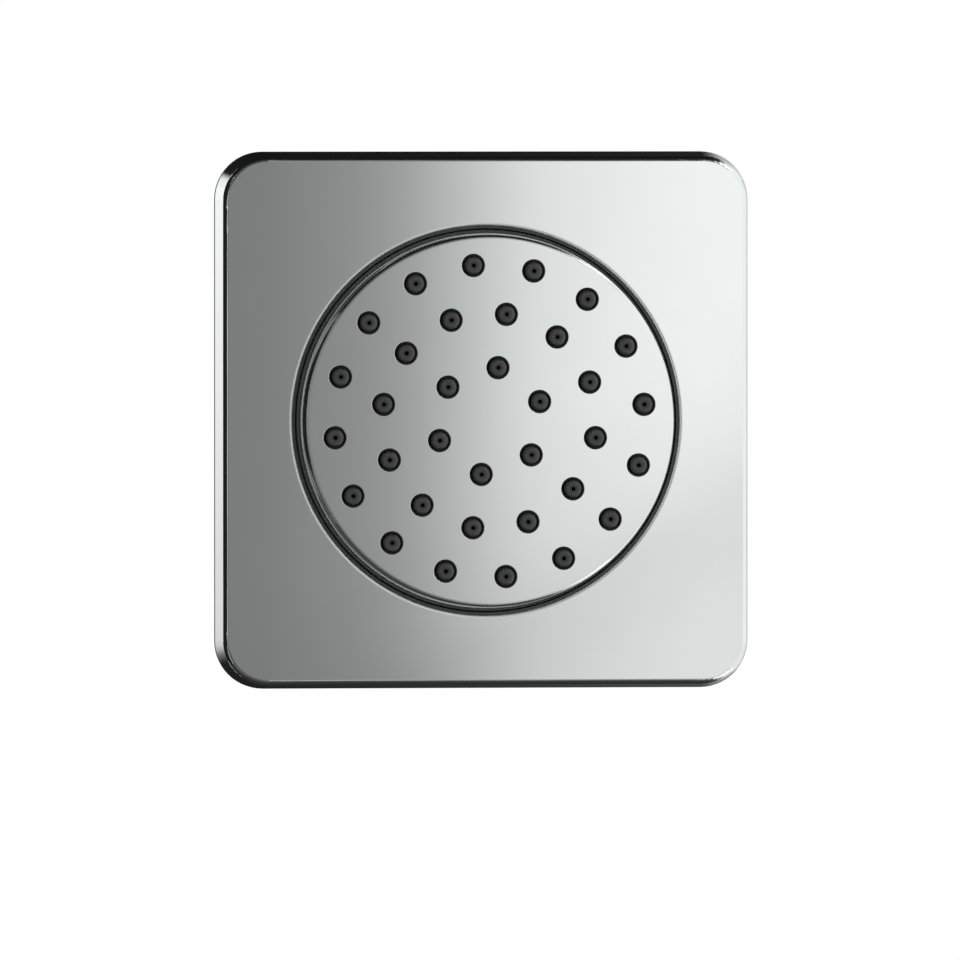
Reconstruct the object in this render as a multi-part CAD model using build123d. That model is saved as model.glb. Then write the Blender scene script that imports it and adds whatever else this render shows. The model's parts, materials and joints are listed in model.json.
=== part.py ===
from build123d import *
import os
from math import acos, cos, hypot, radians, sin, sqrt, tan

# A flush shower body jet: a square cover plate, a round spray head that swivels on a ball,
# and the concealed wall box and brass inlet behind them.
# Lengths are millimetres. Each piece is modelled with the finished wall at z = 0 and the spray
# axis along +z, and is then turned so that the jet faces -Y with +Z up.

# Cover plate
plate_side = 120.0
plate_depth = 8.2
plate_taper = 1.1
plate_corner = 10.7
plate_face_corner = 10.0
plate_skin = 2.2
plate_wall = 2.0
plate_edge = 1.2
rim_edge = 0.4
rib_count = 8
rib_wall = 1.6
rib_gap = 1.0
sleeve_step = 0.4
sleeve_wall = 3.0
sleeve_reach = 7.0
plate_ring_section = 2.0
plate_ring_inset = 3.0

# Wall gasket
gasket_depth = 2.0
gasket_width = 6.0
gasket_gap = 1.0

# Spray head
head_proud = 6.0
head_front_r = 41.35
head_edge = 0.5
face_skin = 1.3
skirt_wall = 0.9
skirt_overhang = 2.5
mat_depth = 1.2
diffuser_depth = 1.3
diffuser_ledge = 1.2
chamber_depth = 2.0
web_depth = 2.0
shell_rim = 3.2
shell_skirt = 3.7
shell_rib_count = 8
shell_rib_wall = 1.4
shell_rib_depth = 2.2
notch_count = 4
notch_width = 5.0
notch_depth = 1.6
head_ring_section = 1.8
head_ring_inset = 1.8

# Spray nozzles, in three rings with angles clockwise from the top
outer_count, outer_start = 16, -6.0
middle_count, middle_start = 12, 9.0
inner_count, inner_start = 6, 9.0
outer_margin = 6.45
middle_step = 10.8
inner_step = 12.05
nozzle_r = 2.1
nozzle_tip_r = 1.8
nozzle_proud = 1.2
nozzle_round = 0.7
nozzle_inlet_r = 1.3
nozzle_orifice_r = 0.45
nozzle_gap = 0.35
hole_bevel = 0.15
feed_width = 2.2
feed_bridges = 4
feed_bridge_width = 3.0

# Ball joint
pivot_depth = 5.0
tilt_limit = 7.0
ball_r = 9.5
ball_cut = 5.0
ball_fit = 0.1
seat_wall = 1.8
seat_gap = 0.3
seal_depth = 2.8
seal_fit = 0.05
socket_gap = 0.35
neck_gap = 0.5
neck_wall = 2.6
neck_reach = 3.5
nut_wall = 2.0
nut_grip = 4.6
nut_reach = 10.4
nut_mouth_gap = 0.3
swing_gap = 0.66

# Ball stem and what it clamps
stem_bore = 3.6
stem_wall = 1.6
stem_mouth = 0.8
stem_gap = 1.45
stem_hex = 20.0
stem_hex_depth = 4.5
stem_shank_r = 8.0
stem_shank_length = 8.0
stem_ring_section = 1.6
regulator_depth = 4.0
regulator_wall = 1.5
regulator_floor = 1.4
regulator_post_r = 2.4
regulator_port_r = 0.8
regulator_ports = 8
regulator_ring_section = 2.0
filter_depth = 1.0
filter_fit = 0.2
filter_sag = 3.0
filter_skin = 0.5
filter_hole_r = 0.45
filter_rows = 3

# Brass inlet, its nut and its washers
hub_hex = 26.0
hub_length = 5.7
flange_r = 17.0
flange_depth = 4.0
shank_r = 12.0
shank_end = 1.0
inlet_r = 10.478
inlet_length = 15.0
inlet_bevel = 1.0
inlet_bore = 6.5
washer_depth = 2.0
back_washer_r = 19.0
back_washer_depth = 1.5
back_nut_hex = 36.0
back_nut_depth = 7.0

# Concealed wall box
box_flange_depth = 2.0
box_flange_gap = 2.0
box_flange_corner = 6.0
box_wall = 2.0
box_floor = 3.0
box_floor_r = 24.0
box_rib_count = 8
box_rib_wall = 1.8
box_rib_proud = 5.0
collar_rest = 2.0
screw_inset = 8.0
screw_hole_r = 2.25

# Clearances shared by several pieces
thread_fit = 0.05
collar_fit = 0.3
washer_fit = 0.2
insert_fit = 0.1
ring_touch = 0.02
ring_groove_room = 0.4
hex_bevel = 0.4

# Heights along the spray axis
plate_back = gasket_depth
plate_face = plate_back + plate_depth
plate_inside = plate_face - plate_skin
pivot = plate_face - pivot_depth
head_face = plate_face + head_proud
face_back = head_face - face_skin
mat_back = face_back - mat_depth
diffuser_back = mat_back - diffuser_depth
web_front = diffuser_back - chamber_depth
web_back = web_front - web_depth
shell_back = web_back - shell_skirt
skirt_back = shell_back - skirt_overhang
seal_front = web_back - seal_fit
seal_back = seal_front - seal_depth
neck_back = pivot - neck_reach
nut_back = pivot - nut_reach

# Radii of the ball joint, from the ball outwards
swing = acos(cos(radians(tilt_limit)) ** 2)
seat_in = ball_r + ball_fit
seat_out = seat_in + seat_wall
cup_r = seat_out + ball_fit
neck_in = cup_r + neck_gap
neck_out = neck_in + neck_wall
nut_bore = neck_out + thread_fit
nut_hex = 2 * (nut_bore + nut_wall)
stem_neck_r = stem_bore + stem_wall
socket_r = sqrt(ball_r**2 - (web_back - pivot) ** 2) + socket_gap

# The head's side is part of a sphere about the pivot, so its gap in the plate stays even as it swivels
head_sphere_r = hypot(head_front_r, head_face - pivot)
hole_r = head_sphere_r + swing_gap
sleeve_in = hole_r + sleeve_step
sleeve_out = sleeve_in + sleeve_wall
collar_r = sleeve_out + collar_fit
collar_out = collar_r + box_wall

# Radii inside the spray head
skirt_in = head_front_r - skirt_wall
shell_out = skirt_in - thread_fit
chamber_r = shell_out - shell_rim
outer_ring_r = head_front_r - outer_margin
middle_ring_r = outer_ring_r - middle_step
inner_ring_r = middle_ring_r - inner_step
nozzle_rings = (
    (outer_count, outer_start, outer_ring_r),
    (middle_count, middle_start, middle_ring_r),
    (inner_count, inner_start, inner_ring_r),
)

# Heights of the inlet, from the ball stem back to the pipe thread
nut_corner_r = nut_hex / sqrt(3)
nut_swing = nut_corner_r * sin(swing) + nut_reach * cos(swing)
stem_hex_front = pivot - nut_swing - stem_gap
hub_front = stem_hex_front - stem_hex_depth
stem_end = hub_front - stem_shank_length
regulator_back = stem_end - regulator_depth
socket_floor = regulator_back - filter_depth
flange_front = hub_front - hub_length
flange_back = flange_front - flange_depth
box_floor_front = flange_back - washer_depth
box_floor_back = box_floor_front - box_floor
back_nut_front = box_floor_back - back_washer_depth
back_nut_back = back_nut_front - back_nut_depth
shank_back = back_nut_back - shank_end
inlet_back = shank_back - inlet_length

# Outlines in the wall plane
gasket_opening = plate_side - 2 * gasket_width
box_flange_side = gasket_opening - 2 * box_flange_gap
screw_pitch = box_flange_side - 2 * screw_inset
collar_back = -sleeve_reach - collar_rest


def turned(*points):
    """A solid turned about the spray axis from (radius, height) corners."""
    outline = Polyline(*[(radius, 0, height) for radius, height in points], close=True)
    return revolve(make_face(outline), Axis.Z)


def ring(inside, outside, low, high):
    """A plain ring between two radii and two heights."""
    return turned((inside, low), (outside, low), (outside, high), (inside, high))


def disc(radius, low, high):
    """A plain disc between two heights."""
    return turned((0, low), (radius, low), (radius, high), (0, high))


def ball(radius):
    """A sphere about the swivel's centre."""
    return Pos(0, 0, pivot) * Sphere(radius)


def o_ring(centre_r, section, height):
    """A round rubber ring about the spray axis."""
    return Pos(0, 0, height) * Torus(centre_r, section / 2)


def hexagon(across_flats, low, high):
    """A hexagonal bar with its corners bevelled at both ends."""
    flat_r = across_flats / 2
    corner_r = across_flats / sqrt(3)
    start_r = flat_r - hex_bevel
    drop = (corner_r - start_r) * tan(radians(30))
    outline = Pos(0, 0, low) * RegularPolygon(flat_r, 6, major_radius=False)
    limit = turned(
        (0, low), (start_r, low), (corner_r, low + drop),
        (corner_r, high - drop), (start_r, high), (0, high),
    )
    return extrude(outline, high - low) & limit


def spokes(count, start_r, end_r, width, low, high):
    """Radial bars round the spray axis."""
    middle = Pos((start_r + end_r) / 2, 0, (low + high) / 2)
    bar = middle * Box(end_r - start_r, width, high - low)
    return [Rot(0, 0, 360 / count * k) * bar for k in range(count)]


def at_nozzles(shape):
    """Copies of a shape at every nozzle."""
    copies = []
    for count, start, radius in nozzle_rings:
        for k in range(count):
            angle = radians(start + 360 / count * k)
            copies.append(Pos(radius * sin(angle), radius * cos(angle), 0) * shape)
    return copies


def stem_mouth_cone(angle, reach):
    """The space that the stem's neck sweeps when what surrounds it tilts by an angle."""
    near = stem_neck_r / cos(angle) + nut_mouth_gap
    far = near + reach * tan(angle)
    return turned((0, pivot), (near, pivot), (far, pivot - reach), (0, pivot - reach))


def plate_outline(height, inset=0.0):
    """The plate's rounded square at a height, drawn in by an inset."""
    lean = (height - plate_back) / plate_depth
    side = plate_side - 2 * plate_taper * lean - 2 * inset
    corner = plate_corner + (plate_face_corner - plate_corner) * lean - inset
    return Pos(0, 0, height) * RectangleRounded(side, side, corner)


def face_plate():
    """Chromed casting: leaning sides, ribbed hollow back and a sleeve that plugs into the wall box."""
    blank = loft([plate_outline(plate_back), plate_outline(plate_face)])
    blank = fillet(blank.faces().sort_by(Axis.Z)[-1].edges(), plate_edge)
    hollow = loft([plate_outline(plate_back, plate_wall), plate_outline(plate_inside, plate_wall)])
    rib_back = box_flange_depth + rib_gap
    ribs = spokes(rib_count, sleeve_in, plate_side, rib_wall, rib_back, plate_inside)
    plate = blank - hollow + [rib & blank for rib in ribs]
    plate += ring(sleeve_in, sleeve_out, -sleeve_reach, plate_inside)
    plate -= disc(sleeve_in, -sleeve_reach, plate_inside)
    plate -= disc(hole_r, plate_inside, plate_face)
    rim = plate.edges().filter_by(GeomType.CIRCLE).filter_by(lambda edge: abs(edge.radius - hole_r) < 1e-6)
    plate = fillet(rim.sort_by(Axis.Z)[-1], rim_edge)
    return plate - plate_ring_groove()


def plate_ring_height():
    """Height of the plate's sealing ring, near the sleeve's back end."""
    return plate_ring_inset - sleeve_reach


def plate_ring_groove():
    """The groove round the sleeve for its sealing ring."""
    half = (plate_ring_section + ring_groove_room) / 2
    floor_r = collar_r - plate_ring_section - 2 * ring_touch
    return ring(floor_r, collar_r, plate_ring_height() - half, plate_ring_height() + half)


def plate_o_ring():
    """Rubber ring that grips the wall box and holds the plate on."""
    return o_ring(collar_r - ring_touch - plate_ring_section / 2, plate_ring_section, plate_ring_height())


def wall_gasket():
    """Soft gasket between the plate's rim and the wall."""
    outline = RectangleRounded(plate_side, plate_side, plate_corner)
    opening = RectangleRounded(gasket_opening, gasket_opening, plate_corner - gasket_width)
    return extrude(outline - opening, gasket_depth) - disc(collar_out + gasket_gap, 0, gasket_depth)


def wall_box():
    """Moulded cup set in the wall, with a square flange for four screws."""
    floor_out = box_floor_r + box_wall
    cup = turned(
        (0, box_flange_depth), (collar_out, box_flange_depth), (collar_out, collar_back),
        (floor_out, box_floor_back), (0, box_floor_back),
    )
    flange = RectangleRounded(box_flange_side, box_flange_side, box_flange_corner)
    cup += extrude(flange, box_flange_depth)
    rib_limit = turned(
        (0, 0), (collar_out, 0), (collar_out, collar_back),
        (floor_out + box_rib_proud, box_floor_back), (0, box_floor_back),
    )
    ribs = spokes(box_rib_count, shank_r + box_wall, collar_out, box_rib_wall, box_floor_back, 0)
    cup += [rib & rib_limit for rib in ribs]
    cup -= turned(
        (0, box_flange_depth), (collar_r, box_flange_depth), (collar_r, collar_back),
        (box_floor_r, box_floor_front), (0, box_floor_front),
    )
    cup -= disc(shank_r + washer_fit, box_floor_back, box_floor_front)
    hole = disc(screw_hole_r, 0, box_flange_depth)
    half = screw_pitch / 2
    return cup - [Pos(x, y, 0) * hole for x in (-half, half) for y in (-half, half)]


def inlet_body():
    """Turned brass inlet: hexagonal hub for the stem, clamping flange, shank and pipe tail."""
    body = hexagon(hub_hex, flange_front, hub_front)
    body += disc(flange_r, flange_back, flange_front)
    body += disc(shank_r, shank_back, flange_back)
    body += turned(
        (0, shank_back), (inlet_r, shank_back), (inlet_r, inlet_back + inlet_bevel),
        (inlet_r - inlet_bevel, inlet_back), (0, inlet_back),
    )
    body -= disc(inlet_bore, inlet_back, socket_floor)
    body -= disc(stem_shank_r + thread_fit, socket_floor, hub_front)
    seat_depth = stem_ring_section + 2 * ring_touch
    seat_r = stem_shank_r + seat_depth
    return body - disc(seat_r, hub_front - seat_depth, hub_front)


def sealing_washer():
    """Rubber washer between the inlet's flange and the floor of the box."""
    return ring(shank_r + washer_fit, flange_r, box_floor_front, flange_back)


def back_washer():
    """Steel washer under the back nut."""
    return ring(shank_r + washer_fit, back_washer_r, back_nut_front, box_floor_back)


def back_nut():
    """Hexagonal brass nut that clamps the inlet in the box."""
    return hexagon(back_nut_hex, back_nut_back, back_nut_front) - disc(
        shank_r + thread_fit, back_nut_back, back_nut_front
    )


def filter_screen():
    """Domed strainer with a flat rim, at the bottom of the inlet's socket."""
    rim_r = stem_shank_r - insert_fit
    dome_r = inlet_bore - filter_fit
    sphere_r = (dome_r**2 + filter_sag**2) / (2 * filter_sag)
    centre = Pos(0, 0, socket_floor + filter_depth + sphere_r - filter_sag)
    below = disc(dome_r, socket_floor - filter_sag, socket_floor + filter_depth)
    dome = (centre * Sphere(sphere_r) - centre * Sphere(sphere_r - filter_skin)) & below
    screen = ring(dome_r - filter_skin, rim_r, socket_floor, socket_floor + filter_depth) + dome
    hole = disc(filter_hole_r, socket_floor - filter_sag, regulator_back + filter_depth)
    row_step = (dome_r - filter_skin) / filter_rows
    holes = []
    for row in range(1, filter_rows):
        for k in range(6 * row):
            holes.append(Rot(0, 0, 60 / row * k) * Pos(row_step * row, 0, 0) * hole)
    return screen - holes


def regulator_ring_r():
    """Radius of the middle of the regulator's channel."""
    return (regulator_post_r + stem_shank_r - insert_fit - regulator_wall) / 2


def flow_regulator():
    """Plastic flow limiter: a ring channel round a post, with ports through its floor."""
    body = disc(stem_shank_r - insert_fit, regulator_back, stem_end)
    channel_r = stem_shank_r - insert_fit - regulator_wall
    body -= ring(regulator_post_r, channel_r, regulator_back, stem_end - regulator_floor)
    port = Pos(regulator_ring_r(), 0, 0) * disc(regulator_port_r, regulator_back, stem_end)
    return body - [Rot(0, 0, 360 / regulator_ports * k) * port for k in range(regulator_ports)]


def regulator_o_ring():
    """Rubber ring that narrows the regulator's ports as the pressure rises."""
    height = stem_end - regulator_floor - ring_touch - regulator_ring_section / 2
    return o_ring(regulator_ring_r(), regulator_ring_section, height)


def ball_stem():
    """Brass ball on a hollow neck, with a hexagon and a shank that screws into the inlet."""
    top = pivot + ball_cut
    stem = ball(ball_r) - disc(ball_r, top, pivot + ball_r)
    stem += disc(stem_neck_r, stem_hex_front, pivot)
    stem += hexagon(stem_hex, hub_front, stem_hex_front)
    stem += disc(stem_shank_r, stem_end, hub_front)
    stem -= disc(stem_bore, stem_end, top)
    return stem - turned(
        (0, top), (stem_bore + stem_mouth, top), (stem_bore, top - stem_mouth), (0, top - stem_mouth)
    )


def stem_o_ring():
    """Rubber ring under the stem's hexagon."""
    half = ring_touch + stem_ring_section / 2
    return o_ring(stem_shank_r + half, stem_ring_section, hub_front - half)


def ball_seat():
    """Slippery plastic liner between the back of the ball and the retaining nut."""
    tilt = radians(tilt_limit)
    front = seal_back - seat_out * sin(tilt) - seat_gap
    seat = ball(seat_out) - ball(seat_in)
    seat -= disc(cup_r, front, pivot + cup_r)
    return seat - stem_mouth_cone(tilt, cup_r)


def ball_seal():
    """Rubber seal between the front of the ball and the head's socket."""
    return ring(0, neck_in - seal_fit, seal_back, seal_front) - ball(ball_r + seal_fit)


def retaining_nut():
    """Hexagonal nut that draws the head's socket onto the ball."""
    nut = hexagon(nut_hex, nut_back, neck_back + nut_grip)
    nut -= disc(nut_bore, neck_back, neck_back + nut_grip)
    nut -= ball(cup_r)
    return nut - stem_mouth_cone(swing, nut_reach)


def head_shell():
    """Moulded back of the head: socket neck, ribbed web, and the rim that clamps the nozzle mat."""
    shell = ring(0, shell_out, shell_back, mat_back)
    shell -= disc(chamber_r, shell_back, web_back)
    shell -= disc(chamber_r - diffuser_ledge, web_front, diffuser_back)
    shell -= disc(chamber_r, diffuser_back, mat_back)
    rib_start = nut_corner_r + rib_gap
    shell += spokes(
        shell_rib_count, rib_start, chamber_r + shell_rim / 2, shell_rib_wall, web_back - shell_rib_depth, web_back
    )
    shell += disc(neck_out, neck_back, web_back)
    shell -= disc(neck_in, neck_back, web_back)
    shell -= disc(socket_r, web_back, web_front)
    shell -= spokes(
        notch_count, chamber_r - shell_rim, shell_out + shell_rim, notch_width, shell_back, shell_back + notch_depth
    )
    return shell - head_ring_groove()


def head_ring_height():
    """Height of the head's sealing ring, near the front of the shell's rim."""
    return mat_back - head_ring_inset


def head_ring_groove():
    """The groove round the shell's rim for its sealing ring."""
    half = (head_ring_section + ring_groove_room) / 2
    floor_r = skirt_in - head_ring_section - 2 * ring_touch
    return ring(floor_r, skirt_in, head_ring_height() - half, head_ring_height() + half)


def head_o_ring():
    """Rubber ring between the shell's rim and the spray face's skirt."""
    return o_ring(skirt_in - ring_touch - head_ring_section / 2, head_ring_section, head_ring_height())


def diffuser_plate():
    """Backing plate behind the nozzle mat, with a broken ring slot for each ring of nozzles."""
    plate = disc(chamber_r - insert_fit, diffuser_back, mat_back)
    for count, start, radius in nozzle_rings:
        slot = ring(radius - feed_width / 2, radius + feed_width / 2, diffuser_back, mat_back)
        bridges = spokes(feed_bridges, 0, head_front_r, feed_bridge_width, diffuser_back, mat_back)
        between = Rot(0, 0, 90 - start - 180 / count)
        plate -= slot - [between * bridge for bridge in bridges]
    return plate


def nozzle_mat():
    """Silicone mat with all the nozzles moulded in one piece."""
    tip = head_face + nozzle_proud
    mat = disc(shell_out - insert_fit, mat_back, face_back)
    nozzle = turned((0, face_back), (nozzle_r, face_back), (nozzle_tip_r, tip), (0, tip))
    nozzle = fillet(nozzle.edges().filter_by(GeomType.CIRCLE).sort_by(Axis.Z)[-1], nozzle_round)
    bore = turned((0, mat_back), (nozzle_inlet_r, mat_back), (nozzle_orifice_r, tip), (0, tip))
    return mat + at_nozzles(nozzle) - at_nozzles(bore)


def spray_face():
    """Chromed spray disc with a deep spherical side and a bevelled hole for each nozzle."""
    face = ball(head_sphere_r) & disc(head_sphere_r, skirt_back, head_face)
    face = fillet(face.edges().filter_by(GeomType.CIRCLE).sort_by(Axis.Z)[-1], head_edge)
    face -= disc(skirt_in, skirt_back, face_back)
    edge_r = nozzle_r + nozzle_gap
    hole = turned(
        (0, face_back), (edge_r, face_back), (edge_r, head_face - hole_bevel),
        (edge_r + hole_bevel, head_face), (0, head_face),
    )
    return face - at_nozzles(hole)


pieces = (
    face_plate, plate_o_ring, wall_gasket, wall_box,
    inlet_body, sealing_washer, back_washer, back_nut,
    filter_screen, flow_regulator, regulator_o_ring,
    ball_stem, stem_o_ring, ball_seat, ball_seal, retaining_nut,
    head_shell, head_o_ring, diffuser_plate, nozzle_mat, spray_face,
)

os.makedirs("parts", exist_ok=True)
for piece in pieces:
    export_step(Rot(90, 0, 0) * piece(), os.path.join("parts", piece.__name__ + ".step"))
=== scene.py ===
import json
import math

import bpy
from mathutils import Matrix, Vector


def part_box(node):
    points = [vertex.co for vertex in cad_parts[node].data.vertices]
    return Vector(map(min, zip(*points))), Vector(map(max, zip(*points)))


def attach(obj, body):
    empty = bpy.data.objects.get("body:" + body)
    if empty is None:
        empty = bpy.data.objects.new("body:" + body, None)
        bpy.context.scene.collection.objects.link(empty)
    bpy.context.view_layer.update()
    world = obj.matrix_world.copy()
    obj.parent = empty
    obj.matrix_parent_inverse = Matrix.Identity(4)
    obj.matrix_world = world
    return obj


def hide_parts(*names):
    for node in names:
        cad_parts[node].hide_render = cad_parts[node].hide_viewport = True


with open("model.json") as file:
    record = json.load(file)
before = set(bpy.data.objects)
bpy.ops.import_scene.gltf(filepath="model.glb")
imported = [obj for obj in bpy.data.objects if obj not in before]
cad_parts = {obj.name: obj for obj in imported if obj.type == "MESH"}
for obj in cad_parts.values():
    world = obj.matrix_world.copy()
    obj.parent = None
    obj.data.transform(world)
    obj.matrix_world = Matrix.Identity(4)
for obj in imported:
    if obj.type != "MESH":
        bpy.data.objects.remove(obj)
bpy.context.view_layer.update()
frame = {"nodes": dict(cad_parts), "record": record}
nodes = frame["nodes"]

MM = 0.001

# The photograph's framing: side and scale, the pixel of the middle of the plate's face, and angle of view
FRAME_SIDE = 960
PIXELS_PER_MM = 4.478
FACE_CENTRE = (486.2, 420.5)
CAMERA_AZIMUTH = math.radians(-7.0)
CAMERA_ELEVATION = math.radians(1.3)
CAMERA_DISTANCE = 5.0
CAMERA_REACH = 50

# The middle of the plate's face, and the unit vector from it back to the camera
plate_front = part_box("face_plate")[0].y
face_centre = Vector((0, plate_front, 0))
level = math.cos(CAMERA_ELEVATION)
camera_back = Vector((
    math.sin(CAMERA_AZIMUTH) * level, -math.cos(CAMERA_AZIMUTH) * level, math.sin(CAMERA_ELEVATION),
))


# Nodes of materials

def new_material(name):
    """A new material, with its nodes, its links and its main shader."""
    material = bpy.data.materials.new(name)
    material.use_nodes = True
    tree = material.node_tree
    return material, tree.nodes, tree.links, tree.nodes["Principled BSDF"]


def noise(tree_nodes, links, scale, detail, vector=None):
    """Noise over the part's own coordinates, or over a given vector; returns the output socket."""
    if vector is None:
        vector = tree_nodes.new("ShaderNodeTexCoord").outputs["Object"]
    texture = tree_nodes.new("ShaderNodeTexNoise")
    texture.inputs["Scale"].default_value = scale
    texture.inputs["Detail"].default_value = detail
    links.new(vector, texture.inputs["Vector"])
    return texture.outputs["Fac"]


def own_axes(tree_nodes, links):
    """The part's own coordinates, as a node with an output for each axis."""
    place = tree_nodes.new("ShaderNodeTexCoord")
    axes = tree_nodes.new("ShaderNodeSeparateXYZ")
    links.new(place.outputs["Object"], axes.inputs["Vector"])
    return axes


def length_of(tree_nodes, links, first, second):
    """The length of a flat vector from two numbers; returns the output socket."""
    flat = tree_nodes.new("ShaderNodeCombineXYZ")
    links.new(first, flat.inputs["X"])
    links.new(second, flat.inputs["Y"])
    length = tree_nodes.new("ShaderNodeVectorMath")
    length.operation = "LENGTH"
    links.new(flat.outputs["Vector"], length.inputs[0])
    return length.outputs["Value"]


def lathe_vector(tree_nodes, links):
    """Radius and depth, the same all the way round the jet's axis, as a lathe tool leaves its marks."""
    axes = own_axes(tree_nodes, links)
    made = tree_nodes.new("ShaderNodeCombineXYZ")
    links.new(length_of(tree_nodes, links, axes.outputs["X"], axes.outputs["Z"]), made.inputs["X"])
    links.new(axes.outputs["Y"], made.inputs["Y"])
    return made.outputs["Vector"]


def ramp(tree_nodes, links, source, stops):
    """A colour ramp from (place, grey or colour) stops; returns the output socket."""
    made = tree_nodes.new("ShaderNodeValToRGB")
    elements = made.color_ramp.elements
    while len(elements) < len(stops):
        elements.new(0.5)
    for element, (place, colour) in zip(elements, stops):
        element.position = place
        element.color = (*colour, 1) if isinstance(colour, tuple) else (colour, colour, colour, 1)
    links.new(source, made.inputs["Fac"])
    return made.outputs["Color"]


def wide_ramp(tree_nodes, links, source, stops):
    """A colour ramp whose stops are at any values of its source, not only from 0 to 1."""
    low, high = stops[0][0], stops[-1][0]
    spread = tree_nodes.new("ShaderNodeMapRange")
    spread.inputs["From Min"].default_value = low
    spread.inputs["From Max"].default_value = high
    links.new(source, spread.inputs["Value"])
    scaled = [((place - low) / (high - low), value) for place, value in stops]
    return ramp(tree_nodes, links, spread.outputs["Result"], scaled)


def along_lathe(tree_nodes, links, axis, stops):
    """A value along the lathe's radius (X) or depth (Y), from (millimetres, value) stops."""
    axes = tree_nodes.new("ShaderNodeSeparateXYZ")
    links.new(lathe_vector(tree_nodes, links), axes.inputs["Vector"])
    return wide_ramp(tree_nodes, links, axes.outputs[axis], [(place * MM, value) for place, value in stops])


def multiplied(tree_nodes, links, first, second):
    """The product of two colours."""
    made = tree_nodes.new("ShaderNodeMix")
    made.data_type = "RGBA"
    made.blend_type = "MULTIPLY"
    made.inputs["Factor"].default_value = 1
    links.new(first, made.inputs[6])
    links.new(second, made.inputs[7])
    return made.outputs[2]


def math_node(tree_nodes, links, operation, first, second):
    """A number from two others, each a socket or a constant; returns the output socket."""
    made = tree_nodes.new("ShaderNodeMath")
    made.operation = operation
    for socket, value in zip(made.inputs, (first, second)):
        if isinstance(value, (int, float)):
            socket.default_value = value
        else:
            links.new(value, socket)
    return made.outputs[0]


# Painted shade on the nozzles

# Each ring's radius in millimetres, its count, and its first angle, in degrees clockwise from the top
NOZZLE_RINGS = ((34.9, 16, -6.0), (24.1, 12, 9.0), (12.05, 6, 9.0))

# Painted shade, as factors on the nozzles' colour, by millimetres from the nearest nozzle's axis, and by
# depth
NOZZLE_PAINTED_SHADES = (
    (0.3, 0.15), (0.5, 0.36), (0.7, 0.5), (0.9, 0.72), (1.1, 0.88), (1.35, 0.95), (1.6, 0.9), (1.8, 0.8),
    (2.1, 1.0),
)
NOZZLE_DEPTH_PAINTED_SHADE = ((-16.5, 1.0), (-15.5, 0.3), (-14.5, 0.2))


def painted_tip_shade(tree_nodes, links):
    """Painted shade in the nozzles' colour: dark round a nozzle's orifice and at its edge, where a dished tip
    lies in shadow.
    """
    axes = own_axes(tree_nodes, links)
    lathe = tree_nodes.new("ShaderNodeSeparateXYZ")
    links.new(lathe_vector(tree_nodes, links), lathe.inputs["Vector"])
    angle = math_node(tree_nodes, links, "ARCTAN2", axes.outputs["X"], axes.outputs["Z"])
    nearest = None
    for radius, count, start in NOZZLE_RINGS:
        from_first = math_node(tree_nodes, links, "SUBTRACT", angle, math.radians(start))
        aside = math_node(tree_nodes, links, "PINGPONG", from_first, math.pi / count)
        along = math_node(tree_nodes, links, "MULTIPLY", aside, radius * MM)
        outwards = math_node(tree_nodes, links, "SUBTRACT", lathe.outputs["X"], radius * MM)
        distance = length_of(tree_nodes, links, along, outwards)
        nearest = math_node(tree_nodes, links, "MINIMUM", nearest, distance) if nearest else distance
    return wide_ramp(tree_nodes, links, nearest, [(place * MM, value) for place, value in NOZZLE_PAINTED_SHADES])


def painted_hole_shade(tree_nodes, links):
    """Painted shade that darkens the nozzles' feet in their holes, as if in shadow there."""
    return along_lathe(tree_nodes, links, "Y", NOZZLE_DEPTH_PAINTED_SHADE)


# Finishes

CLOUD_DETAIL, RELIEF_DETAIL = 3.0, 2.0
COLOUR_LOW, COLOUR_HIGH = 0.35, 0.65
ROUGH_LOW, ROUGH_HIGH = 0.3, 0.7
RELIEF_STRENGTH = 0.5
BEVEL_SAMPLES = 8
PLATING_FADE = 0.05
SKIRT_SHADE, SKIRT_ROUGHNESS = 0.1, 0.5


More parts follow.
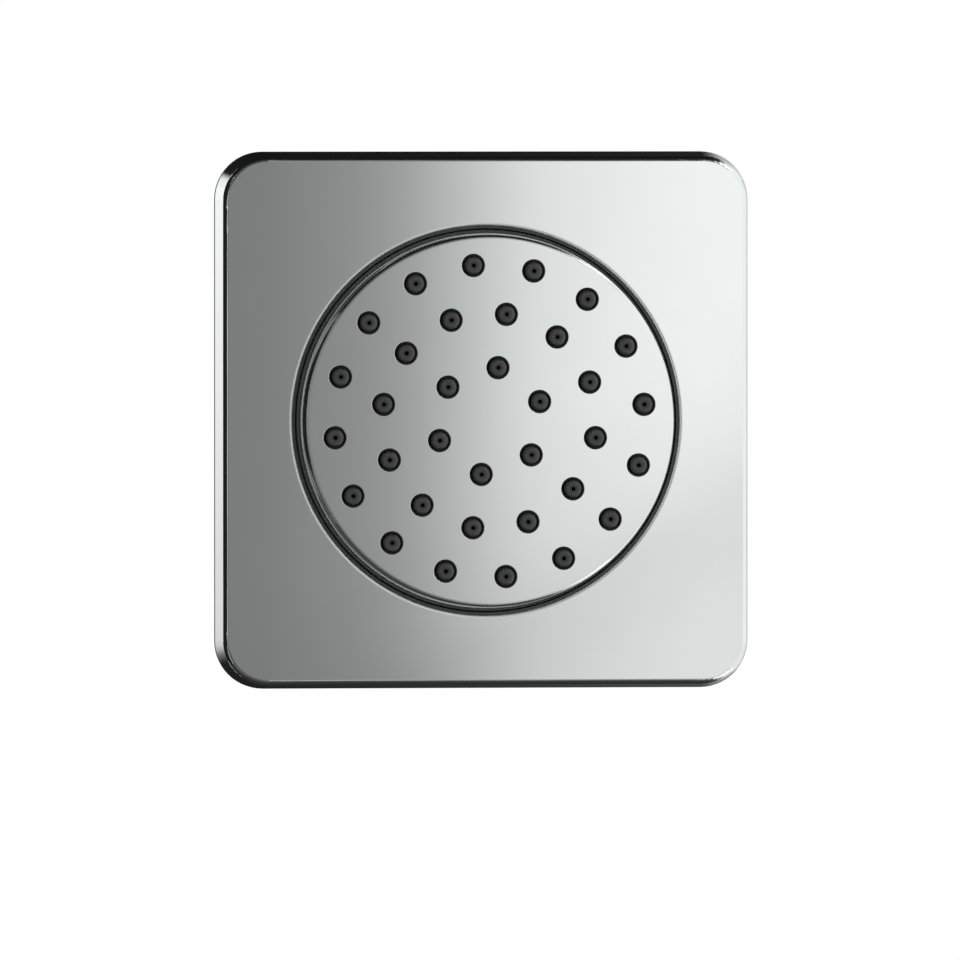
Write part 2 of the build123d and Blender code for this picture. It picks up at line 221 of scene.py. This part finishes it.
def finish(name, dark, light, rough, metallic=0.0, grain=600, relief=0.0, relief_grain=4000,
           lathe_marks=False, painted_shades=(), plated_to=None, edges=None, satin=None):
    """A finish whose colour and roughness vary a little, each between two values.
    It may have a fine relief, as grain or as lathe marks, and painted shades that darken its colour.
    It may be plated only in front of a depth, with bare plastic behind.
    Its softened edges and its satin roughness may be given by radius. Relief, depths, radii and edges are
    millimetres."""
    material, tree_nodes, links, shader = new_material(name)
    shader.inputs["Metallic"].default_value = metallic
    cloud = noise(tree_nodes, links, grain, CLOUD_DETAIL)
    colour = ramp(tree_nodes, links, cloud, [(COLOUR_LOW, dark), (COLOUR_HIGH, light)])
    # Painted shade: each given shade darkens the colour where the part would lie in shadow
    for shade in painted_shades:
        colour = multiplied(tree_nodes, links, colour, shade(tree_nodes, links))
    if satin:
        roughness = along_lathe(tree_nodes, links, "X", satin)
    else:
        roughness = ramp(tree_nodes, links, cloud, [(ROUGH_LOW, rough[0]), (ROUGH_HIGH, rough[1])])
    if plated_to:
        def either(plated, bare):
            ends = [(plated_to - PLATING_FADE, plated), (plated_to + PLATING_FADE, bare)]
            return along_lathe(tree_nodes, links, "Y", ends)
        colour = multiplied(tree_nodes, links, colour, either(1.0, SKIRT_SHADE))
        roughness = either(sum(rough) / 2, SKIRT_ROUGHNESS)
        links.new(either(1.0, 0.0), shader.inputs["Metallic"])
    links.new(colour, shader.inputs["Base Color"])
    links.new(roughness, shader.inputs["Roughness"])
    if relief:
        vector = lathe_vector(tree_nodes, links) if lathe_marks else None
        bump = tree_nodes.new("ShaderNodeBump")
        bump.inputs["Strength"].default_value = RELIEF_STRENGTH
        bump.inputs["Distance"].default_value = relief * MM
        links.new(noise(tree_nodes, links, relief_grain, RELIEF_DETAIL, vector), bump.inputs["Height"])
        links.new(bump.outputs["Normal"], shader.inputs["Normal"])
    if edges:
        bevel = tree_nodes.new("ShaderNodeBevel")
        bevel.samples = BEVEL_SAMPLES
        sizes = [(place, size * MM) for place, size in edges]
        links.new(along_lathe(tree_nodes, links, "X", sizes), bevel.inputs["Radius"])
        links.new(bevel.outputs["Normal"], shader.inputs["Normal"])
    return material


CHROME = {
    "dark": (0.815, 0.855, 0.838), "light": (0.83, 0.87, 0.853), "rough": (0.03, 0.055), "metallic": 1.0,
    "grain": 60,
}

# How far edges are softened, by radius: at the rim of the plate's hole, and at the spray face's edge
SOFT_EDGE = 0.9
PLATE_EDGES = ((43.5, SOFT_EDGE), (45.5, SOFT_EDGE), (46.0, 0), (90.0, 0))
HEAD_EDGES = ((38.0, 0.2), (39.5, SOFT_EDGE), (42.5, SOFT_EDGE))

# The wall of the plate's hole is satin. The spray face's plating ends behind its edge, and its skirt is bare.
SATIN, POLISHED = 0.45, 0.045
PLATE_SATIN = ((43.4, SATIN), (43.6, SATIN), (43.8, POLISHED), (44.0, POLISHED))
PLATING_END = -11.2

FINISHES = {
    "chrome": finish("chrome", **CHROME, edges=PLATE_EDGES, satin=PLATE_SATIN),
    # The nozzles' colour carries painted shade round their orifices, at their edges and at their feet
    "nozzle_silicone": finish(
        "nozzle_silicone", (0.032, 0.034, 0.033), (0.041, 0.043, 0.041), (0.42, 0.52), grain=1500,
        relief=0.02, painted_shades=(painted_tip_shade, painted_hole_shade),
    ),
    "seal_rubber": finish(
        "seal_rubber", (0.02, 0.02, 0.022), (0.035, 0.035, 0.037), (0.55, 0.7), grain=800, relief=0.02,
    ),
    "brass": finish(
        "brass", (0.66, 0.47, 0.21), (0.74, 0.54, 0.26), (0.2, 0.3), metallic=1.0, grain=220, relief=0.008,
        relief_grain=5000, lathe_marks=True,
    ),
    "steel": finish(
        "steel", (0.56, 0.56, 0.55), (0.64, 0.64, 0.62), (0.25, 0.35), metallic=1.0, grain=500, relief=0.006,
        relief_grain=5000, lathe_marks=True,
    ),
    "box_plastic": finish(
        "box_plastic", (0.095, 0.11, 0.135), (0.11, 0.128, 0.155), (0.48, 0.6), grain=180, relief=0.03,
    ),
    "head_plastic": finish(
        "head_plastic", (0.03, 0.03, 0.032), (0.045, 0.045, 0.047), (0.38, 0.5), grain=250, relief=0.02,
    ),
    "slide_plastic": finish(
        "slide_plastic", (0.74, 0.73, 0.69), (0.80, 0.79, 0.75), (0.3, 0.4), grain=250, relief=0.01,
    ),
}

for part in frame["record"]["subparts"]:
    piece = nodes[part["node"]]
    piece.data.materials.clear()
    piece.data.materials.append(FINISHES[part["material_slot"]])

head_chrome = finish("head_chrome", **CHROME, plated_to=PLATING_END, edges=HEAD_EDGES)
nodes["spray_face"].data.materials[0] = head_chrome


# Turned pieces of the wall unit, made of rings round the jet's axis. Their sizes are millimetres.

SEGMENTS = 144
ANGLES = [math.tau * k / SEGMENTS for k in range(SEGMENTS)]
CREASE = math.radians(35)


def circle(depth, radius):
    """A round ring."""
    return depth, [radius] * SEGMENTS


def turned_piece(name, front, rings, slot):
    """A closed piece through rings, whose depths are measured behind its front."""
    points = []
    faces = []
    for i, (depth, radii) in enumerate(rings):
        here, there = i * SEGMENTS, (i + 1) % len(rings) * SEGMENTS
        for k, (angle, radius) in enumerate(zip(ANGLES, radii)):
            after = (k + 1) % SEGMENTS
            points.append((radius * MM * math.cos(angle), front + depth * MM, radius * MM * math.sin(angle)))
            faces.append((here + k, there + k, there + after, here + after))
    mesh = bpy.data.meshes.new(name)
    mesh.from_pydata(points, [], faces)
    mesh.polygons.foreach_set("use_smooth", [True] * len(faces))
    mesh.set_sharp_from_angle(angle=CREASE)
    mesh.materials.append(FINISHES[slot])
    made = bpy.data.objects.new(name, mesh)
    bpy.context.scene.collection.objects.link(made)
    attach(made, "wall_unit")
    return made


# A soft lip on the wall of the plate's hole, which nearly closes the slit round the head.
# Each ring of it has a depth behind the plate's face and a radius.
LIP = ((0.7, 43.44), (1.8, 43.44), (1.3, 42.95), (1.0, 42.84), (0.8, 42.95), (0.7, 43.2))
lip = turned_piece("gap_lip", plate_front, [circle(*ring) for ring in LIP], "seal_rubber")
lip.data.materials[0] = finish(
    "lip_rubber", (0.06, 0.061, 0.061), (0.075, 0.076, 0.076), (0.5, 0.6), grain=800, relief=0.01,
)

# The brass inlet, with its threads cut. Its ends are depths behind the front of its hub.
HUB_FLATS, HUB_END = 26.0, 5.7
HUB_BEVEL, HUB_BEVEL_SLOPE = 0.4, math.tan(math.radians(60))
HUB_STEPS = (0, 0.35, 0.7, 1.05, 1.4)
SIXTH_TURN = math.radians(60)
FLANGE_R, FLANGE_END = 17.0, 9.7
SHANK_R, SHANK_THREAD, SHANK_END = 12.0, 16.2, 24.2
SHANK_PITCH, SHANK_CUT, SHANK_BEVEL = 1.5, 0.9, 0.6
TAIL_R, TAIL_END = 10.478, 39.2
TAIL_PITCH, TAIL_CUT, TAIL_BEVEL = 1.814, 1.162, 1.0
BORE_R, SOCKET_R, SOCKET_END = 6.5, 8.05, 13.0
RING_R, RING_END = 9.64, 1.64
STEPS_PER_PITCH = 16


def hexagon(depth, from_end):
    """A ring of the hexagonal hub, with its corners bevelled towards an end."""
    half = HUB_FLATS / 2
    limit = half - HUB_BEVEL + from_end * HUB_BEVEL_SLOPE
    return depth, [min(limit, half / math.cos(angle % SIXTH_TURN - SIXTH_TURN / 2)) for angle in ANGLES]


def thread(start, end, radius, pitch, cut, bevel):
    """Rings of a screw thread that runs in from its start and is bevelled at its end."""
    rings = []
    steps = round((end - start) / pitch * STEPS_PER_PITCH)
    for i in range(steps + 1):
        depth = start + (end - start) * i / steps
        groove = cut * min(1, (depth - start) / pitch)
        limit = radius - max(0, bevel - (end - depth))
        turn = math.tau * depth / pitch
        radii = [radius - groove * (0.5 - 0.5 * math.cos(angle + turn)) for angle in ANGLES]
        rings.append((depth, [min(limit, each) for each in radii]))
    return rings


inlet_rings = [hexagon(step, step) for step in HUB_STEPS]
inlet_rings += [hexagon(HUB_END - step, step) for step in reversed(HUB_STEPS)]
inlet_rings += [circle(HUB_END, FLANGE_R), circle(FLANGE_END, FLANGE_R), circle(FLANGE_END, SHANK_R)]
inlet_rings += thread(SHANK_THREAD, SHANK_END, SHANK_R, SHANK_PITCH, SHANK_CUT, SHANK_BEVEL)
inlet_rings += thread(SHANK_END, TAIL_END, TAIL_R, TAIL_PITCH, TAIL_CUT, TAIL_BEVEL)
inlet_rings += [circle(TAIL_END, BORE_R), circle(SOCKET_END, BORE_R), circle(SOCKET_END, SOCKET_R)]
inlet_rings += [circle(RING_END, SOCKET_R), circle(RING_END, RING_R), circle(0, RING_R)]
inlet = turned_piece("threaded_inlet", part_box("inlet_body")[0].y, inlet_rings, "brass")
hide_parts("inlet_body")


# Cards that only reflections show

ALONG_X, ALONG_Y, ALONG_Z = (1, 0, 0), (0, 1, 0), (0, 0, 1)
DOWN_RIGHT = (0.5, 0, -0.866)


def graded(name, axis, stops, fade=None, slant=None):
    """Light that changes along one axis of a card, from (metres, strength) stops.
    It may fade along a second axis, and be dimmed along the slant down to the right."""
    material = bpy.data.materials.new(name)
    material.use_nodes = True
    tree = material.node_tree
    tree.nodes.clear()
    light = tree.nodes.new("ShaderNodeEmission")
    out = tree.nodes.new("ShaderNodeOutputMaterial")
    tree.links.new(light.outputs["Emission"], out.inputs["Surface"])
    place = tree.nodes.new("ShaderNodeTexCoord").outputs["Object"]

    def strength(direction, points):
        along = tree.nodes.new("ShaderNodeVectorMath")
        along.operation = "DOT_PRODUCT"
        along.inputs[1].default_value = direction
        tree.links.new(place, along.inputs[0])
        return wide_ramp(tree.nodes, tree.links, along.outputs["Value"], points)

    colour = strength(axis, stops)
    if slant:
        colour = multiplied(tree.nodes, tree.links, colour, strength(DOWN_RIGHT, slant))
    tree.links.new(colour, light.inputs["Color"])
    if fade:
        tree.links.new(strength(*fade), light.inputs["Strength"])
    return material


def card(name, low, high, shade, origin=(0, 0, 0)):
    """A flat card between two corners, both measured from its origin, as its light is."""
    low, high = Vector(low), Vector(high)
    flat = min(range(3), key=lambda k: high[k] - low[k])
    across, along = [k for k in range(3) if k != flat]
    corners = []
    for end_across, end_along in ((low, low), (high, low), (high, high), (low, high)):
        corner = low.copy()
        corner[across] = end_across[across]
        corner[along] = end_along[along]
        corners.append(corner)
    mesh = bpy.data.meshes.new(name)
    mesh.from_pydata(corners, [], [(0, 1, 2, 3)])
    mesh.materials.append(shade)
    made = bpy.data.objects.new(name, mesh)
    bpy.context.scene.collection.objects.link(made)
    made.location = origin
    made.visible_camera = made.visible_diffuse = made.visible_shadow = made.visible_transmission = False


# The cards stand round the jet like a box that is open at its front right, to the white world
FRONT, BEHIND = -0.61, 0.45
LEFT, RIGHT = -0.45, 0.75
BELOW, ABOVE = -0.37, 0.36

# How far overlapping cards stand apart
APART = 0.01

# The plate's face mirrors the front card, whose light is placed as it shows on the face
FRONT_HALF = 0.13
SLANT_HALF = 0.18
mirrored = Vector((-camera_back.x, camera_back.y, -camera_back.z))
front_origin = face_centre + mirrored * ((FRONT - face_centre.y) / mirrored.y)
front_light = graded("front_light", ALONG_X, [
    (-FRONT_HALF, 0.2), (-0.056, 0.241), (-0.045, 0.278), (-0.035, 0.308), (-0.027, 0.35), (-0.019, 0.42),
    (-0.012, 0.51), (-0.005, 0.61), (0.002, 0.715), (0.008, 0.80), (0.015, 0.868), (0.022, 0.91),
    (0.030, 0.95), (0.042, 1.0), (0.056, 1.04), (FRONT_HALF, 1.06),
], slant=[
    (-SLANT_HALF, 1.0), (0.006, 1.0), (0.018, 0.97), (0.030, 0.93), (0.040, 0.87), (0.047, 0.80),
    (0.060, 0.80), (0.067, 0.82), (SLANT_HALF, 0.85),
])
card("front_card", (-FRONT_HALF, 0, -FRONT_HALF), (FRONT_HALF, 0, FRONT_HALF), front_light, front_origin)

# Softened edges near the face mirror what is round that card
SURROUND_RIGHT = 0.3
surround_front = FRONT - APART
surround_light = graded("surround_light", ALONG_X, [
    (LEFT, 0.012), (-0.41, 0.015), (-0.38, 0.12), (-0.25, 0.22), (-0.06, 0.22), (0.02, 0.28), (0.07, 0.7),
    (0.13, 1.0), (SURROUND_RIGHT, 1.0),
], fade=(ALONG_Z, [
    (BELOW, 0.45), (-0.25, 0.5), (-0.16, 0.55), (-0.1, 0.9), (0.1, 1.0), (0.15, 0.7), (0.2, 0.35),
    (ABOVE, 0.3),
]))
card("front_surround", (LEFT, surround_front, BELOW), (SURROUND_RIGHT, surround_front, ABOVE), surround_light)

# Dark above and below, for the dark bands along the plate's top and bottom edges
FLAG_RIGHT = 0.4
upper_light = graded("upper_light", ALONG_X, [
    (LEFT, 0.01), (0.15, 0.01), (0.22, 0.05), (0.3, 0.8), (FLAG_RIGHT, 0.95),
], fade=(ALONG_Y, [(FRONT, 5.0), (-0.4, 2.5), (-0.2, 1.0), (BEHIND, 1.0)]))
card("upper_flag", (LEFT, FRONT, ABOVE), (FLAG_RIGHT, BEHIND, ABOVE), upper_light)
lower_light = graded("lower_light", ALONG_X, [
    (LEFT, 0.03), (0.12, 0.03), (0.18, 0.06), (0.27, 0.6), (FLAG_RIGHT, 0.75),
], fade=(ALONG_Y, [(FRONT, 4.0), (-0.4, 2.6), (-0.2, 1.4), (0, 1.0), (BEHIND, 1.0)]))
card("lower_flag", (LEFT, FRONT, BELOW), (FLAG_RIGHT, BEHIND, BELOW), lower_light)

# Dark to the left, for the dark line between the plate's face and its left wall.
# The front end there is lighter at its top and bottom.
FLAG_BACK, END_BACK = 0.5, -0.39
left_light = graded("left_light", ALONG_Y, [(FRONT, 0.016), (FLAG_BACK, 0.012)])
card("left_flag", (LEFT, FRONT, BELOW), (LEFT, FLAG_BACK, ABOVE), left_light)
end_left = LEFT + APART / 2
left_end_light = graded("left_end_light", ALONG_Z, [
    (BELOW, 0.5), (-0.19, 0.42), (-0.12, 0.014), (0.26, 0.014), (0.33, 0.42), (ABOVE, 0.5),
])
card("left_end", (end_left, FRONT, BELOW), (end_left, END_BACK, ABOVE), left_end_light)

# A narrow light at the front left, for the bright line on the left of the head's side
BOX_LEFT, BOX_RIGHT = -0.374, -0.308
BOX_BELOW, BOX_ABOVE = -0.2, 0.3
box_front = FRONT + APART
left_box_light = graded("left_box_light", ALONG_Z, [
    (BOX_BELOW, 0.15), (-0.1, 0.35), (-0.03, 0.85), (0.06, 0.85), (0.14, 0.3), (BOX_ABOVE, 0.2),
])
card("left_box", (BOX_LEFT, box_front, BOX_BELOW), (BOX_RIGHT, box_front, BOX_ABOVE), left_box_light)

# Behind, for the plate's walls: bright on the left, dark above and below, grey on the right
WHITE_RIGHT, WHITE_HALF = -0.1, 0.2
UPPER_LEFT, LOWER_LEFT, GREY_LEFT = -0.24, -0.2, 0.09
GREY_BELOW, GREY_ABOVE = -0.09, 0.11
white_back = BEHIND + APART
left_back_light = graded("left_back_light", ALONG_Z, [
    (-WHITE_HALF, 0.012), (-0.17, 0.03), (-0.14, 0.18), (-0.112, 0.45), (-0.085, 0.68), (-0.06, 0.77),
    (0, 0.93), (0.06, 1.04), (WHITE_HALF, 1.06),
])
card("left_back", (LEFT, white_back, -WHITE_HALF), (WHITE_RIGHT, white_back, WHITE_HALF), left_back_light)
upper_back_light = graded("upper_back_light", ALONG_X, [
    (UPPER_LEFT, 1.0), (-0.222, 0.9), (-0.2, 0.012), (0, 0.008), (0.12, 0.018), (0.14, 0.2), (0.16, 0.5),
    (RIGHT, 0.7),
])
card("upper_back", (UPPER_LEFT, BEHIND, GREY_ABOVE), (RIGHT, BEHIND, ABOVE), upper_back_light)
lower_back_light = graded("lower_back_light", ALONG_X, [
    (LOWER_LEFT, 0.014), (0, 0.016), (0.057, 0.03), (0.117, 0.075), (0.14, 0.25), (0.17, 0.5), (RIGHT, 0.7),
])
card("lower_back", (LOWER_LEFT, BEHIND, BELOW), (RIGHT, BEHIND, GREY_BELOW), lower_back_light)
right_back_light = graded("right_back_light", ALONG_Z, [
    (GREY_BELOW, 0.5), (-0.03, 0.66), (0.03, 0.74), (0.07, 0.72), (GREY_ABOVE, 0.55),
])
card("right_back", (GREY_LEFT, BEHIND, GREY_BELOW), (RIGHT, BEHIND, GREY_ABOVE), right_back_light)

# Pale grey far to the right, from beside the jet backwards
RIGHT_FRONT = -0.1
right_light = graded("right_light", ALONG_Y, [(RIGHT_FRONT, 0.9), (0.1, 0.74), (BEHIND, 0.7)])
card("right_flag", (RIGHT, RIGHT_FRONT, BELOW), (RIGHT, BEHIND, ABOVE), right_light)


# Floor, lamp and world

FLOOR_LEVEL, FLOOR_HALF = -3, 20
quarters = ((-1, -1), (1, -1), (1, 1), (-1, 1))
floor_corners = [(FLOOR_HALF * x, FLOOR_HALF * y, FLOOR_LEVEL) for x, y in quarters]
floor_mesh = bpy.data.meshes.new("floor")
floor_mesh.from_pydata(floor_corners, [], [(0, 1, 2, 3)])
floor_mesh.materials.append(finish("floor", (0.9, 0.9, 0.9), (0.92, 0.92, 0.92), (0.8, 0.9)))
floor = bpy.data.objects.new("floor", floor_mesh)
bpy.context.scene.collection.objects.link(floor)

LAMP_PLACE = Vector((0.5, -1.5, 0.12))
LAMP_SIDE, LAMP_WATTS = 0.5, 5
lamp_data = bpy.data.lights.new("key_lamp", "AREA")
lamp_data.size = LAMP_SIDE
lamp_data.energy = LAMP_WATTS
lamp = bpy.data.objects.new("key_lamp", lamp_data)
bpy.context.scene.collection.objects.link(lamp)
lamp.location = LAMP_PLACE
lamp.rotation_mode = "QUATERNION"
lamp.rotation_quaternion = (-LAMP_PLACE).to_track_quat("-Z", "Y")
lamp.visible_glossy = False

world = bpy.data.worlds.new("studio")
bpy.context.scene.world = world
world.use_nodes = True
backdrop = world.node_tree.nodes["Background"]
backdrop.inputs["Color"].default_value = (1, 1, 1, 1)
backdrop.inputs["Strength"].default_value = 1.0


# Camera, moved sideways and down without turning, so that the face's middle lands on its pixel

camera_data = bpy.data.cameras.new("camera")
camera = bpy.data.objects.new("camera", camera_data)
bpy.context.scene.collection.objects.link(camera)
bpy.context.scene.camera = camera
camera.rotation_mode = "QUATERNION"
camera.rotation_quaternion = (-camera_back).to_track_quat("-Z", "Y")
camera_turn = camera.rotation_quaternion.to_matrix()
right, up = camera_turn.col[0], camera_turn.col[1]
offset_right = (FACE_CENTRE[0] - FRAME_SIDE / 2) / PIXELS_PER_MM * MM
offset_up = (FRAME_SIDE / 2 - FACE_CENTRE[1]) / PIXELS_PER_MM * MM
camera.location = face_centre + camera_back * CAMERA_DISTANCE - right * offset_right - up * offset_up
camera_data.lens = camera_data.sensor_width * CAMERA_DISTANCE / (FRAME_SIDE / PIXELS_PER_MM * MM)
camera_data.clip_end = CAMERA_REACH

bpy.context.scene.view_settings.view_transform = "Standard"
